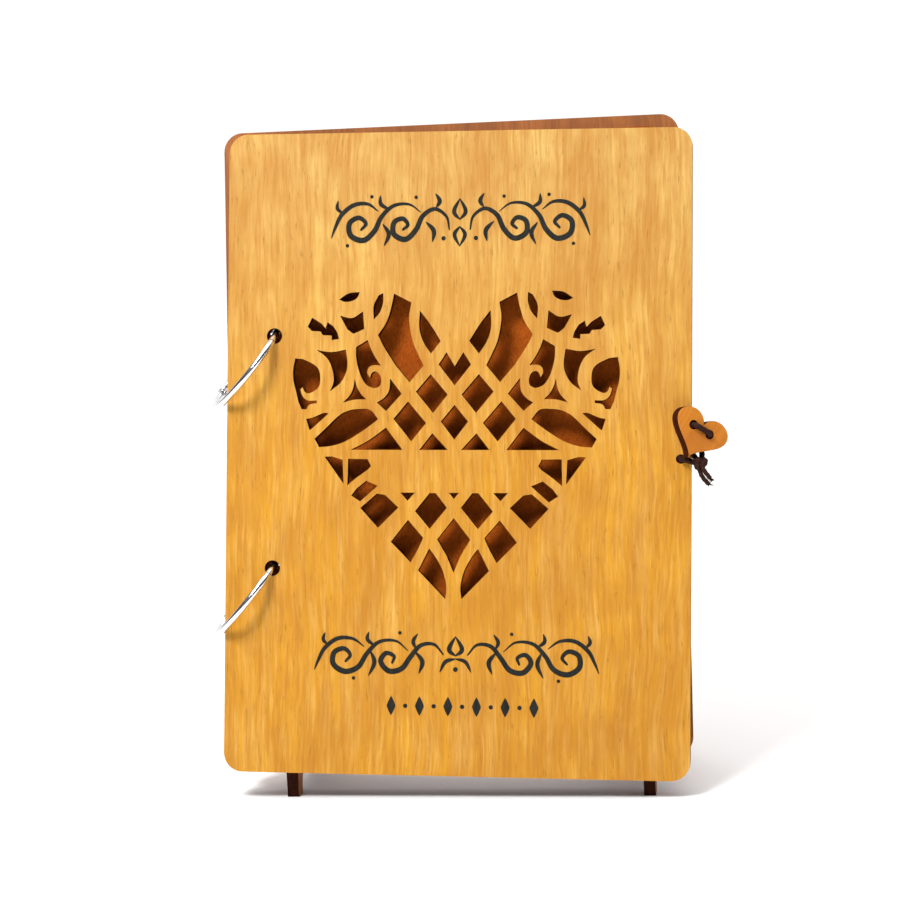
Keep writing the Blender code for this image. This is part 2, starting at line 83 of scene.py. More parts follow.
PLATE_T = 4.0
PLATE_X = (-57.5, 65.5)
REST_GAP = 0.4                       # from the back cover to the stand
BACKREST_Z = 94.0                    # up the book's slope
BACKREST_DEPTH = 11.0
BARS = (("low", 38.0, 7.0, 25.0), ("high", 21.0, 52.0, 74.0))
SLOT_INSET = 3.7                     # a slot is shorter than its bar,
TAB_INSET = 4.0                      # and the bar's tab fits in it
SLOT_GAP = 0.3

# ------------------------------------------------ sizes of the looks alone
WIRE_R = 1.16
KNUCKLE_R = 1.7
KNUCKLE_SPAN = (0.12, 0.95)          # from the ring's plane, along its axis
NECK_R = 0.62
NECK_LIFT = 0.52
NECK_STEP = 2.4                      # degrees
COLLAR_START, COLLAR_STEP = 3.0, 1.2  # degrees past the clasp
COLLAR_POINTS = 16
COLLAR_SWELL = 0.12                  # share of the wire's radius
TONGUE_R = 0.55
RIVET_R = 0.6
RIVET_REACH = 1.4
RIVET_HEAD = (1.15, 1.6)             # from its foot to its top
RIVET_HEAD_R = 1.15
RIVET_DOME = 0.25

CORD_R = 1.02
TAIL_R = 0.80
KNOT_R = 1.12
KNOT_AT = (83.0, -4.6, 106.4)
STOPPER_R = 0.75
STOPPER_Y = 3.35
FRAYED_FIBRES = 11
BUTTON_HOLE_R = 1.5
BUTTON_BACKING = 0.6                 # added behind the heart
BUTTON_CHAMFER = 0.18

INK_LIFT = 0.03                      # engraving stands this far off the wood
INK_LAYER = 0.004                    # and each stroke this far off the last

# ------------------------------------------------ studio, in metres
CAMERA_AT = (0.11850, -0.83515, 0.20181)
CAMERA_AZIMUTH, CAMERA_ELEVATION, CAMERA_ROLL = 8.638, 5.875, -2.344
CAMERA_LENS = 96.16
KEY_AT, KEY_AIM = (-0.36, -0.76, 1.05), (0.0, 0.0, 0.10)
KEY_SIZE, KEY_WATTS = 0.40, 16.2
SKY_BEHIND, SKY_ABOVE, SKY_AROUND = 1.06, 2.5, 0.10
FLOOR_HALF = 4.0

# Openwork outlines in cover coordinates, x from the heart's middle line.  A
# point that ends in 1 is passed smoothly, any other one is a corner.
HALF_OPENINGS = (
    ((8.3, 136.0), (13.4, 130.0), (7.4, 122.7), (2.4, 129.0)),
    ((16.1, 126.7), (21.1, 120.7), (14.9, 113.0), (9.8, 119.3)),
    ((21.2, 163.7), (15.2, 160.6), (15.9, 155.0, 1), (14.8, 148.0, 1),
     (12.8, 143.0, 1), (10.8, 139.0), (15.6, 133.2), (20.5, 139.0),
     (24.7, 145.5, 1), (26.7, 149.5), (23.8, 154.0, 1), (22.2, 159.0, 1)),
    ((12.2, 157.8), (8.5, 153.0, 1), (4.9, 147.3), (8.3, 143.0),
     (11.0, 147.2, 1), (12.4, 152.0, 1)),
    ((25.0, 163.9), (26.6, 163.1), (28.3, 159.5, 1), (28.2, 154.8),
     (26.1, 157.3, 1), (25.0, 160.6, 1)),
    ((40.4, 161.8), (37.0, 163.9, 1), (33.2, 164.3), (34.0, 162.4, 1),
     (36.0, 161.2, 1), (38.5, 161.0, 1)),
    ((49.8, 155.6), (46.6, 153.6), (45.0, 151.9), (44.4, 154.0),
     (42.3, 152.6), (40.9, 150.4), (40.3, 148.2), (42.9, 147.8),
     (42.9, 149.4), (46.0, 149.5), (46.8, 150.8), (49.9, 151.0),
     (51.3, 152.5)),
    ((40.0, 156.2), (35.8, 155.4, 1), (32.0, 157.6), (31.5, 151.6),
     (35.3, 149.9), (37.4, 151.5)),
    ((48.1, 144.4), (43.0, 143.7, 1), (37.9, 144.5), (37.3, 140.0, 1),
     (37.8, 136.5, 1), (39.8, 133.0, 1), (43.4, 130.2), (42.2, 133.0, 1),
     (42.2, 136.0, 1), (43.2, 139.5, 1), (45.0, 142.2, 1)),
    ((34.3, 145.4), (30.3, 147.8), (29.0, 144.5, 1), (27.2, 141.2, 1),
     (25.6, 139.0), (28.3, 139.1, 1), (29.9, 138.2, 1), (30.3, 136.4, 1),
     (29.4, 134.9), (28.8, 136.4, 1), (27.6, 137.0, 1), (26.2, 136.2, 1),
     (25.5, 134.4, 1), (25.7, 132.4, 1), (27.0, 131.4, 1),
     (28.6, 131.4, 1), (30.6, 132.4, 1), (32.3, 134.8, 1),
     (33.5, 138.0, 1), (34.3, 142.0, 1)),
    ((55.6, 141.6), (52.8, 141.3), (49.6, 139.8, 1), (47.8, 138.4, 1),
     (46.9, 136.4, 1), (46.9, 132.6, 1), (48.4, 130.6, 1),
     (50.8, 129.5, 1), (52.2, 130.1, 1), (52.9, 131.6), (53.7, 130.9),
     (53.2, 129.1, 1), (52.3, 127.8, 1), (50.8, 127.0, 1),
     (47.9, 127.0), (47.9, 126.1), (50.4, 125.6, 1), (51.6, 124.0),
     (53.2, 124.0), (54.4, 126.6), (55.2, 130.0, 1), (56.2, 134.0, 1),
     (56.3, 138.0, 1)),
    ((51.6, 120.7), (49.2, 121.2, 1), (45.6, 122.7, 1), (43.7, 122.6),
     (46.6, 120.0, 1), (49.3, 117.6, 1), (50.4, 116.8)),
    ((48.6, 113.9), (44.6, 117.6, 1), (40.2, 121.8, 1), (36.6, 123.6, 1),
     (33.0, 124.1, 1), (29.2, 123.8, 1), (26.4, 120.6), (29.0, 118.6, 1),
     (33.0, 115.8, 1), (38.0, 112.9, 1), (42.8, 111.4, 1), (47.0, 111.0)),
    ((34.7, 134.5), (33.9, 131.8, 1), (32.6, 129.4, 1), (30.6, 127.4),
     (34.7, 127.3, 1), (38.8, 126.3), (36.4, 128.8, 1), (35.2, 131.4, 1)),
    ((22.4, 134.6), (18.3, 129.3), (23.7, 123.4), (26.9, 126.3),
     (24.6, 127.8, 1), (23.0, 129.8, 1), (22.5, 132.0, 1)),
    ((23.7, 117.7), (17.9, 110.1), (35.9, 110.1), (29.8, 113.3, 1)),
    ((7.6, 115.8), (2.3, 110.1), (12.1, 110.1)),
    ((45.0, 107.7), (42.5, 107.8), (38.7, 106.7), (38.3, 98.4)),
    ((36.8, 107.0), (30.0, 106.9), (28.8, 104.6), (29.8, 103.4),
     (34.0, 100.4), (37.0, 97.9)),
    ((30.4, 99.5), (26.4, 97.8), (32.5, 92.4), (35.6, 94.4),
     (33.8, 96.8)),
    ((26.7, 95.1), (23.8, 94.7), (19.2, 90.4), (26.2, 83.4),
     (32.4, 90.2)),
    ((18.5, 95.5), (13.5, 95.5), (16.0, 92.7)),
    ((8.4, 95.4), (6.3, 95.4), (2.4, 90.4), (8.3, 83.2), (13.4, 89.2)),
    ((15.8, 86.2), (10.5, 80.1), (12.4, 76.0, 1), (14.8, 71.7),
     (21.7, 78.7)),
    ((8.4, 76.5), (12.2, 69.0), (2.8, 59.4), (2.4, 63.5, 1),
     (3.7, 69.0, 1), (6.2, 73.6, 1)),
)
MIDDLE_OPENINGS = (
    ((0.0, 138.7), (2.9, 143.5), (5.6, 139.3), (0.0, 132.1)),
    ((0.0, 125.5), (4.7, 119.8), (0.0, 113.6)),
    ((0.0, 95.5), (1.7, 95.5), (0.0, 93.4)),
    ((0.0, 86.9), (5.7, 79.6), (2.5, 74.2), (0.0, 68.3)),
)

# ------------------------------------------------------------- placing

BOOK = (Matrix.Translation(Vector(ORIGIN) * MM)
        @ Matrix.Rotation(radians(-LEAN), 4, "X"))


def cover_matrix():
    """Where the sagging front cover's bottom middle is."""
    pivot = Vector((HOLE_X + FRONT_SHIFT, -COVER_PITCH,
                    COVER_MIDDLE - FRONT_DROP))
    roll = Matrix.Rotation(radians(FRONT_ROLL), 4, "Y")
    corner = pivot + roll @ Vector((-HOLE_X, 0.0, -COVER_MIDDLE))
    return BOOK @ Matrix.Translation(corner * MM) @ roll


COVER = cover_matrix()
STAND = Matrix.Translation((ORIGIN[0] * MM, ORIGIN[1] * MM, 0.0))
BUTTON = (COVER @ Matrix.Translation(Vector(BUTTON_AT) * MM)
          @ Matrix.Rotation(radians(BUTTON_YAW), 4, "Z")
          @ Matrix.Rotation(radians(BUTTON_ROLL), 4, "Y"))


def add_piece(obj, name, body, matrix, slot, *nodes):
    """Name a piece, put it in place and hand it to its CAD body."""
    obj.name = name
    obj.data.name = name
    if not obj.users_collection:
        bpy.context.scene.collection.objects.link(obj)
    obj.matrix_world = matrix
    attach(obj, body)
    if nodes:
        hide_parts(*nodes)
    return obj


# ------------------------------------------------------------- materials

class Nodes:
    """A short way to lay out a material's nodes."""

    def __init__(self, name):
        self.mat = bpy.data.materials.new(name)
        self.mat.use_nodes = True
        self.tree = self.mat.node_tree
        self.bsdf = self.tree.nodes["Principled BSDF"]
        texture = self.tree.nodes.new("ShaderNodeTexCoord")
        self.coords = texture.outputs["Object"]

    def link(self, output, socket):
        self.tree.links.new(output, socket)

    def warp(self, scale, reach):
        """Bend the coordinates sideways so that the grain wanders."""
        wander = self.noise(scale, 2.0)
        node = self.tree.nodes.new("ShaderNodeMapRange")
        node.inputs["To Min"].default_value = -reach
        node.inputs["To Max"].default_value = reach
        self.link(wander, node.inputs["Value"])
        offset = self.tree.nodes.new("ShaderNodeCombineXYZ")
        self.link(node.outputs["Result"], offset.inputs["X"])
        total = self.tree.nodes.new("ShaderNodeVectorMath")
        self.link(self.coords, total.inputs[0])
        self.link(offset.outputs["Vector"], total.inputs[1])
        return total.outputs["Vector"]

    def noise(self, scale, detail=3.0, rough=0.55, distortion=0.0,
              vector=None):
        """Noise; scale is the cells per metre along each axis."""
        mapping = self.tree.nodes.new("ShaderNodeMapping")
        mapping.inputs["Scale"].default_value = scale
        self.link(vector or self.coords, mapping.inputs["Vector"])
        tex = self.tree.nodes.new("ShaderNodeTexNoise")
        tex.inputs["Scale"].default_value = 1.0
        tex.inputs["Detail"].default_value = detail
        tex.inputs["Roughness"].default_value = rough
        tex.inputs["Distortion"].default_value = distortion
        self.link(mapping.outputs["Vector"], tex.inputs["Vector"])
        return tex.outputs["Fac"]

    def ramp(self, value, stops):
        """Colour ramp; a stop is a position and a grey level or a colour."""
        node = self.tree.nodes.new("ShaderNodeValToRGB")
        elements = node.color_ramp.elements
        while len(elements) < len(stops):
            elements.new(0.5)
        for element, (position, colour) in zip(elements, stops):
            element.position = position
            if not isinstance(colour, tuple):
                colour = (colour, colour, colour)
            element.color = (*colour, 1.0)
        self.link(value, node.inputs["Fac"])
        return node.outputs["Color"]

    def mix(self, factor, a, b):
        """Mix two colours; each of the three is a socket or a value."""
        node = self.tree.nodes.new("ShaderNodeMix")
        node.data_type = "RGBA"
        # Sockets 6 and 7, and output 2, are the ones that hold colours.
        for socket, value in ((node.inputs[0], factor), (node.inputs[6], a),
                              (node.inputs[7], b)):
            if isinstance(value, bpy.types.NodeSocket):
                self.link(value, socket)
            elif isinstance(value, tuple):
                socket.default_value = (*value, 1.0)
            else:
                socket.default_value = value
        return node.outputs[2]

    def height(self, axis, low, high):
        """0 at low and 1 at high along an object axis, in metres."""
        split = self.tree.nodes.new("ShaderNodeSeparateXYZ")
        self.link(self.coords, split.inputs["Vector"])
        node = self.tree.nodes.new("ShaderNodeMapRange")
        node.inputs["From Min"].default_value = low
        node.inputs["From Max"].default_value = high
        self.link(split.outputs[axis], node.inputs["Value"])
        return node.outputs["Result"]

    def bump(self, value, distance, strength=0.5):
        """Raise the surface by value; distance is in metres."""
        node = self.tree.nodes.new("ShaderNodeBump")
        node.inputs["Distance"].default_value = distance
        node.inputs["Strength"].default_value = strength
        self.link(value, node.inputs["Height"])
        self.link(node.outputs["Normal"], self.bsdf.inputs["Normal"])

    def finish(self, colour, roughness, specular=0.5, metallic=0.0):
        """Set the surface and give the material; sockets may be linked."""
        if isinstance(colour, tuple):
            self.bsdf.inputs["Base Color"].default_value = (*colour, 1.0)
        else:
            self.link(colour, self.bsdf.inputs["Base Color"])
        if isinstance(roughness, float):
            self.bsdf.inputs["Roughness"].default_value = roughness
        else:
            self.link(roughness, self.bsdf.inputs["Roughness"])
        self.bsdf.inputs["Specular IOR Level"].default_value = specular
        self.bsdf.inputs["Metallic"].default_value = metallic
        return self.mat


def wood_face(name, top, bottom, streak, rise=COVER_H * MM, contrast=1.0,
              grain=1.0):
    """Rotary-cut veneer: upright streaks, short pores and a soft mottle."""
    n = Nodes(name)
    grain_at = n.warp((22.0, 22.0, 16.0), 0.004)

    def streaks(across, along, low, high, detail):
        size = (across * grain, across * grain, along * grain)
        return n.ramp(n.noise(size, detail, 0.6, 0.0, grain_at),
                      ((low, 0.0), (high, 1.0)))

    glow = tuple(min(1.0, c * 1.3) for c in top)
    pore = tuple(c * 0.45 for c in streak)
    fade = n.ramp(n.height("Z", 0.0, rise), ((0.50, 0.0), (0.92, 1.0)))
    colour = n.mix(fade, bottom, top)
    # Cells per metre across and along, ramp, detail, share, tone.
    for across, along, low, high, detail, share, tone in (
            (95.0, 6.0, 0.38, 0.66, 3.0, 0.24, streak),
            (330.0, 17.0, 0.40, 0.68, 3.0, 0.22, streak),
            (260.0, 22.0, 0.48, 0.74, 3.0, 0.24, glow),
            (1000.0, 60.0, 0.42, 0.68, 3.0, 0.40, streak),
            (700.0, 48.0, 0.50, 0.74, 3.0, 0.28, glow),
            (60.0, 42.0, 0.42, 0.70, 2.0, 0.30, streak),
            (190.0, 95.0, 0.44, 0.72, 2.0, 0.20, streak),
            (24.0, 15.0, 0.46, 0.70, 1.0, 0.16, streak),
            (1500.0, 210.0, 0.63, 0.72, 2.0, 0.26, pore)):
        mask = streaks(across, along, low, high, detail)
        colour = n.mix(mask, colour, n.mix(share * contrast, colour, tone))
    n.bump(n.noise((1400.0, 1400.0, 45.0), 4.0, 0.65), 0.00008, 0.35)
    rough = n.ramp(n.noise((500.0, 500.0, 20.0)), ((0.3, 0.50), (0.7, 0.64)))
    return n.finish(colour, rough, 0.3)


def burnt_edge(name, light, dark, layers=False):
    """The browned wall that a laser leaves, with the plies just showing. Where
    the given colours are darker than the char alone, the rest is painted
    shade.
    """
    n = Nodes(name)
    fleck = n.ramp(n.noise((900.0, 900.0, 260.0), 4.0, 0.65),
                   ((0.35, 0.0), (0.7, 1.0)))
    colour = n.mix(fleck, dark, light)
    if layers:
        ply = n.ramp(n.noise((25.0, 900.0, 25.0), 1.0),
                     ((0.45, 0.0), (0.56, 1.0)))
        colour = n.mix(ply, colour, n.mix(0.45, colour, dark))
    n.bump(n.noise((1500.0, 1500.0, 500.0), 3.0), 0.0001, 0.4)
    return n.finish(colour, 0.85, 0.06)


def kraft_paper():
    """Brown paper: short fibres and faint clouds."""
    n = Nodes("kraft_paper")
    fibre = n.ramp(n.noise((1300.0, 1300.0, 700.0), 5.0, 0.7, 1.2),
                   ((0.38, (0.29, 0.052, 0.002)),
                    (0.62, (0.46, 0.100, 0.005))))
    cloud = n.ramp(n.noise((45.0, 45.0, 45.0), 2.0), ((0.35, 0.0), (0.7, 1.0)))
    colour = n.mix(cloud, fibre, n.mix(0.25, fibre, (0.25, 0.035, 0.002)))
    n.bump(n.noise((2500.0, 2500.0, 2500.0), 3.0), 0.00006, 0.4)
    return n.finish(colour, 0.9, 0.15)


def plated_wire(name, colour, low, high):
    """Bright metal whose roughness wanders between low and high."""
    n = Nodes(name)
    rough = n.ramp(n.noise((700.0, 700.0, 700.0), 3.0),
                   ((0.3, low), (0.75, high)))
    n.bump(n.noise((1800.0, 1800.0, 1800.0), 2.0), 0.00002, 0.25)
    return n.finish(colour, rough, 0.5, 1.0)


def waxed_cord():
    """Dark brown cord with a fine fibrous surface."""
    n = Nodes("waxed_cord")
    colour = n.ramp(n.noise((3000.0, 3000.0, 3000.0), 4.0, 0.7),
                    ((0.35, (0.008, 0.002, 0.001)),
                     (0.7, (0.046, 0.011, 0.004))))
    n.bump(n.noise((5000.0, 5000.0, 5000.0), 3.0), 0.00008, 0.6)
    return n.finish(colour, 0.62, 0.15)


def engraving():
    """Charred wood, nearly black, with the grain just showing."""
    n = Nodes("engraving")
    colour = n.ramp(n.noise((1500.0, 1500.0, 200.0), 3.0),
                    ((0.35, (0.006, 0.008, 0.007)),
                     (0.7, (0.018, 0.018, 0.014))))
    n.bump(n.noise((2500.0, 2500.0, 400.0), 3.0), 0.00008, 0.5)
    return n.finish(colour, 0.8, 0.2)


HONEY = wood_face("honey_veneer", (0.58, 0.370, 0.102), (0.58, 0.272, 0.010),
                  (0.38, 0.142, 0.009), contrast=1.5)
BROWN = wood_face("brown_veneer", (0.42, 0.138, 0.026), (0.37, 0.118, 0.022),
                  (0.18, 0.055, 0.012), contrast=1.3)
# Painted shade: the front cover's back face is made dark so that the openings
# look deep and shaded.
SHADED_BACK = wood_face("painted_shade_back_veneer", (0.20, 0.060, 0.012),
                   (0.18, 0.052, 0.010), (0.09, 0.024, 0.005), contrast=1.3)
HEART_WOOD = wood_face("button_veneer", (0.60, 0.220, 0.018),
                       (0.57, 0.198, 0.013), (0.38, 0.100, 0.008),
                       rise=0.016, contrast=1.1, grain=0.8)
EDGE = burnt_edge("laser_edge", (0.15, 0.045, 0.012), (0.045, 0.009, 0.003),
                  layers=True)
# The front cover's cut walls: charred, and painted darker still as shade
# inside the openings.
BURNT_AND_SHADED = burnt_edge("burnt_and_shaded_openings", (0.050, 0.012, 0.003),
                   (0.018, 0.004, 0.001))
BUTTON_EDGE = burnt_edge("button_edge", (0.060, 0.011, 0.002),
                         (0.024, 0.004, 0.001))
# The stand's cut walls: charred, and painted darker still as the shade under
# the book.
STAND_EDGE_SHADED = burnt_edge("stand_edge_charred_and_shaded", (0.045, 0.010, 0.005),
                       (0.018, 0.004, 0.002))
KRAFT = kraft_paper()
CHROME = plated_wire("ring_chrome", (0.80, 0.81, 0.83), 0.10, 0.24)
STEEL = plated_wire("rivet_steel", (0.62, 0.63, 0.65), 0.22, 0.40)
CORD = waxed_cord()
ENGRAVED = engraving()


# ------------------------------------------------------------- outlines

def hermite(p, q, tp, tq, t):
    """Point at t on the cubic from p to q with tangents tp and tq."""
    a = 2 * t ** 3 - 3 * t ** 2 + 1
    b = t ** 3 - 2 * t ** 2 + t
    c = -2 * t ** 3 + 3 * t ** 2
    d = t ** 3 - t ** 2
    return p * a + tp * b + q * c + tq * d


def curved_loop(points, steps=7):
    """Closed outline: straight between corners, smooth at curve points."""
    count = len(points)
    loop = []
    for i in range(count):
        p = Vector(points[i][:2])
        q = Vector(points[(i + 1) % count][:2])
        soft_p = len(points[i]) > 2
        soft_q = len(points[(i + 1) % count]) > 2
        loop.append(tuple(p))
        if not (soft_p or soft_q):
            continue
        before = Vector(points[i - 1][:2])
        after = Vector(points[(i + 2) % count][:2])
        tp = (q - before) * 0.5 if soft_p else q - p
        tq = (after - p) * 0.5 if soft_q else q - p
        for k in range(1, steps):
            loop.append(tuple(hermite(p, q, tp, tq, k / steps)))
    return loop


def smooth_path(points, steps=8):
    """Open path through the given points, in the plane or in space."""
    points = [Vector(p) for p in points]
    path = []
    for i in range(len(points) - 1):
        p, q = points[i], points[i + 1]
        tp = (q - points[i - 1]) * 0.5 if i else q - p
        tq = (points[i + 2] - p) * 0.5 if i + 2 < len(points) else q - p
        path += [hermite(p, q, tp, tq, k / steps) for k in range(steps)]
    path.append(points[-1])
    return path


def circle(x, z, radius, sides=40):
    """Closed round outline."""
    step = 2 * pi / sides
    return [(x + radius * cos(i * step), z + radius * sin(i * step))
            for i in range(sides)]


def rounded_box(x0, z0, x1, z1, radius, steps=10):
    """Closed outline of a box with rounded corners."""
    corners = ((x1 - radius, z1 - radius, 0), (x0 + radius, z1 - radius, 90),
               (x0 + radius, z0 + radius, 180),
               (x1 - radius, z0 + radius, 270))
    loop = []
    for x, z, start in corners:
        for i in range(steps + 1):
            a = radians(start + 90 * i / steps)
            loop.append((x + radius * cos(a), z + radius * sin(a)))
    return loop


def heart_outline(width, height, count=72):
    """The usual heart curve, scaled to its width and height and centred."""
    full_height = 28.9
    shift = 0.09
    points = []
    for i in range(count):
        t = 2 * pi * i / count
        x = sin(t) ** 3
        z = 13 * cos(t) - 5 * cos(2 * t) - 2 * cos(3 * t) - cos(4 * t)
        points.append((x * width / 2, (z / full_height + shift) * height))
    return points


# ------------------------------------------------------------- mesh makers

def plate(loops, thickness, face, edge, chamfer=0.0, back=None):
    """An upright plate from closed outlines, in mm, facing -y.

    Materials are the face's, the edge's and, where it differs, the back's.
    """
    curve = bpy.data.curves.new("plate", "CURVE")
    curve.dimensions = "2D"
    curve.fill_mode = "BOTH"
    curve.extrude = (thickness * 0.5 - chamfer) * MM
    curve.bevel_depth = chamfer * MM
    curve.offset = -chamfer * MM
    curve.bevel_resolution = 1 if chamfer else 0
    for loop in loops:
        spline = curve.splines.new("POLY")
        spline.points.add(len(loop) - 1)
        for point, (x, z) in zip(spline.points, loop):
            point.co = (x * MM, z * MM, 0.0, 1.0)
        spline.use_cyclic_u = True
    source = bpy.data.objects.new("plate", curve)
    bpy.context.scene.collection.objects.link(source)
    depsgraph = bpy.context.evaluated_depsgraph_get()
    mesh = bpy.data.meshes.new_from_object(source.evaluated_get(depsgraph))
    bpy.data.objects.remove(source, do_unlink=True)
    bm = bmesh.new()
    bm.from_mesh(mesh)
    bpy.data.meshes.remove(mesh)
    bmesh.ops.remove_doubles(bm, verts=bm.verts, dist=0.002 * MM)
    bmesh.ops.recalc_face_normals(bm, faces=bm.faces)
    bmesh.ops.transform(bm, matrix=Matrix.Rotation(pi / 2, 4, "X"),
                        verts=bm.verts)
    bm.normal_update()
    flat = 0.9
    for f in bm.faces:
        f.material_index = 0 if abs(f.normal.y) > flat else 1
        if back and f.normal.y > flat:
            f.material_index = 2
    materials = (face, edge, back) if back else (face, edge)
    return mesh_object(bm, *materials, smooth=False)


def mesh_object(bm, *materials, smooth=True, sharp=50.0):
    """An object from bm, which it frees; sharp is in degrees."""
    mesh = bpy.data.meshes.new("piece")
    for mat in materials:
        mesh.materials.append(mat)
    bm.to_mesh(mesh)
    bm.free()
    if smooth:
        mesh.shade_smooth()
        mesh.set_sharp_from_angle(angle=radians(sharp))
    return bpy.data.objects.new("piece", mesh)


def skin(bm, rings, closed=False):
    """Faces between rings of vertices, and over the two ends if open."""
    pairs = list(zip(rings, rings[1:]))
    if closed:
        pairs.append((rings[-1], rings[0]))
    for low, high in pairs:
        for k in range(len(low)):
            j = (k + 1) % len(low)
            bm.faces.new((low[k], low[j], high[j], high[k]))
    if not closed:
        bm.faces.new(list(reversed(rings[0])))
        bm.faces.new(rings[-1])


def sweep(bm, points, section, closed=False):
    """Skin a tube along points in mm; section(run, i) gives its outline."""
    points = [Vector(p) for p in points]
    count = len(points)
    tangents = []
    for i in range(count):
        if closed:
            ahead, behind = points[(i + 1) % count], points[i - 1]
        else:
            ahead = points[min(i + 1, count - 1)]
            behind = points[max(i - 1, 0)]
        tangents.append((ahead - behind).normalized())
    side = tangents[0].orthogonal().normalized()
    rings = []
    run = 0.0
    for i, (p, t) in enumerate(zip(points, tangents)):
        side = (side - t * side.dot(t)).normalized()
        up = t.cross(side)
        if i:
            run += (p - points[i - 1]).length
        rings.append([bm.verts.new((p + side * a + up * b) * MM)
                      for a, b in section(run, i)])
    skin(bm, rings, closed)


def round_section(radius, sides=20):
    """Section of a plain round wire."""
    outline = circle(0.0, 0.0, radius, sides)
    return lambda run, i: outline


def laid_section(radius, strands=3, pitch=5.0, sides=30):
    """Section of a laid cord: a few strands twisted round each other."""
    core = 0.80

    def section(run, i):
        turn = 2 * pi * run / pitch
        outline = []
        for k in range(sides):
            a = 2 * pi * k / sides
            lobe = abs(cos((a - turn) * strands / 2))
            r = radius * (core + (1 - core) * lobe)
            outline.append((r * cos(a), r * sin(a)))
        return outline
    return section


def rod_between(bm, start, end, radius, sides=32, dome=0.0):
    """A straight rod in mm, its ends eased or, with dome, rounded over."""
    start, end = Vector(start), Vector(end)
    along = (end - start).normalized()
    length = (end - start).length
    reach = dome or radius * 0.18
    steps = 5
    rise = []
    for k in range(steps + 1):
        share = k / steps
        if dome:
            r = radius * sin(pi / 2 * (0.15 + 0.85 * share))
        else:
            r = radius - reach * (1 - sin(pi / 2 * share))
        rise.append((reach * (1 - cos(pi / 2 * share)), r))
    profile = rise + [(length - s, r) for s, r in reversed(rise)]
    side = along.orthogonal().normalized()
    up = along.cross(side)
    rings = []
    for s, r in profile:
        middle = start + along * s
        rings.append([bm.verts.new((middle + side * a + up * b) * MM)
                      for a, b in circle(0.0, 0.0, r, sides)])
    skin(bm, rings)


# ------------------------------------------------------------- covers

def heart_loops():
    """Every opening of the heart, both halves and the middle ones."""
    loops = []
    for points in HALF_OPENINGS:
        half = curved_loop(points)
        loops.append([(HEART_X + u, z + HEART_RISE) for u, z in half])
        loops.append([(HEART_X - u, z + HEART_RISE) for u, z in half])
    for points in MIDDLE_OPENINGS:
        right = list(points)
        left = [(-u, z) for u, z in reversed(points) if u > 0]
        loops.append([(HEART_X + u, z + HEART_RISE) for u, z in right + left])
    return loops


def make_covers():
    """Both covers; the front one has the openwork and a back face painted dark
    as shade.
    """
    half = COVER_W / 2
    outline = rounded_box(-half, 0, half, COVER_H, CORNER_R)
    ring_holes = [circle(HOLE_X, z, HOLE_R) for z in HOLE_Z]
    cord_hole = circle(*CORD_HOLE, CORD_HOLE_R)
    # The front cover's cut walls and back face carry painted shade.
    front = plate([outline, cord_hole] + ring_holes + heart_loops(), COVER_T,
                  HONEY, BURNT_AND_SHADED, back=SHADED_BACK)
    add_piece(front, "openwork_cover", "cover", COVER, "cover_wood",
              "front_cover")
    back = plate([outline] + ring_holes, COVER_T, BROWN, EDGE)
    add_piece(back, "rear_cover", "book", BOOK, "plain_wood", "back_cover")


# ------------------------------------------------------------- engraving

def ink_depth(layer):
    """Where a layer of the engraving lies, just before the cover's face."""
    return -(COVER_T / 2 + INK_LIFT + INK_LAYER * layer)


def stroke(bm, points, widths, layer):
    """A pen stroke on the cover's face; widths at start, middle and end."""
    path = smooth_path(points, 9)
    count = len(path)
    y = ink_depth(layer)
    first, middle, last = widths
    belly = 1.6
    edges = []
    for i, p in enumerate(path):
        ahead = path[min(i + 1, count - 1)]
        behind = path[max(i - 1, 0)]
        t = (ahead - behind).normalized()
        s = i / (count - 1)
        width = (first * (1 - s) ** 2 + middle * 2 * s * (1 - s) * belly
                 + last * s ** 2)
        offset = Vector((-t.y, t.x)) * width * 0.5
        edges.append([bm.verts.new(Vector((q.x, y, q.y)) * MM)
                      for q in (p + offset, p - offset)])
    for (a, b), (c, d) in zip(edges, edges[1:]):
        bm.faces.new((a, c, d, b))
    for (a, b), p, t in ((edges[0], path[0], path[0] - path[1]),
                         (edges[-1], path[-1], path[-1] - path[-2])):
        cap_end(bm, a, b, p, t.normalized(), y)


def cap_end(bm, a, b, p, out, y):
    """A round end on a stroke, unless the stroke ends in a hair line."""
    radius = (a.co - b.co).length * 0.5 / MM
    hair_line = 0.12
    if radius < hair_line:
        return
    start = Vector((a.co.x / MM - p.x, a.co.z / MM - p.y))
    turn = 1 if start.x * out.y - start.y * out.x > 0 else -1
    steps = 8
    fan = [a]
    for k in range(1, steps):
        angle = turn * pi * k / steps
        q = Vector((start.x * cos(angle) - start.y * sin(angle),
                    start.x * sin(angle) + start.y * cos(angle)))
        fan.append(bm.verts.new(Vector((p.x + q.x, y, p.y + q.y)) * MM))
    fan.append(b)
    bm.faces.new(fan)


def blot(bm, x, z, half_w, half_h, power, layer, sides=32):
    """A dot (power 2) or a lozenge (power near 1)."""
    y = ink_depth(layer)
    verts = []
    for k in range(sides):
        a = 2 * pi * k / sides
        c, s = cos(a), sin(a)
        r = (abs(c) ** power + abs(s) ** power) ** (-1 / power)
        verts.append(bm.verts.new(Vector((x + half_w * r * c, y,
                                          z + half_h * r * s)) * MM))
    bm.faces.new(verts)


